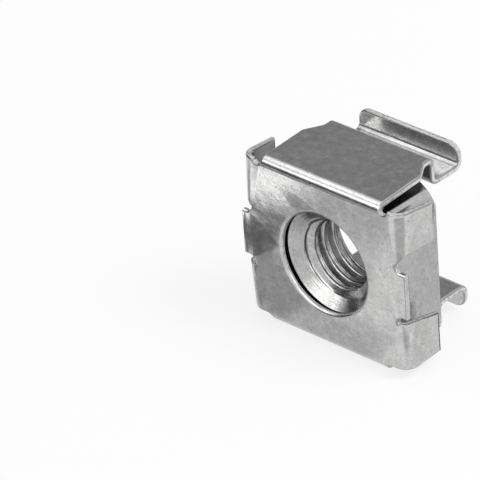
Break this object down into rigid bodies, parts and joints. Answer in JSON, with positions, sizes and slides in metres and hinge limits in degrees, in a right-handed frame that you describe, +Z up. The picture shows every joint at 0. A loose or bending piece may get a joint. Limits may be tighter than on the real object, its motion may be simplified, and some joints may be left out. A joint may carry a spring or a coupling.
{
  "type": "rack cage nut",
  "caption": "Square threaded nut trapped loosely in a folded spring-steel cage whose sprung lugs clip into the square hole of a rack rail.",
  "frame": {"origin": "on the thread axis, half way through the square nut", "axes": "+Y along the thread from the cage's hole face towards its lugs, +X across the hole face, +Z up through the top wall"},
  "size_m": [0.0146, 0.0095, 0.0135],
  "materials": {
    "plated_spring_steel": "bright zinc plating on rolled spring steel sheet",
    "plated_nut_steel": "zinc plating on a pressed and tapped steel nut"
  },
  "bodies": {
    "root": {"cage": "plated_spring_steel", "square_nut": "plated_nut_steel"}
  },
  "joints": []
}
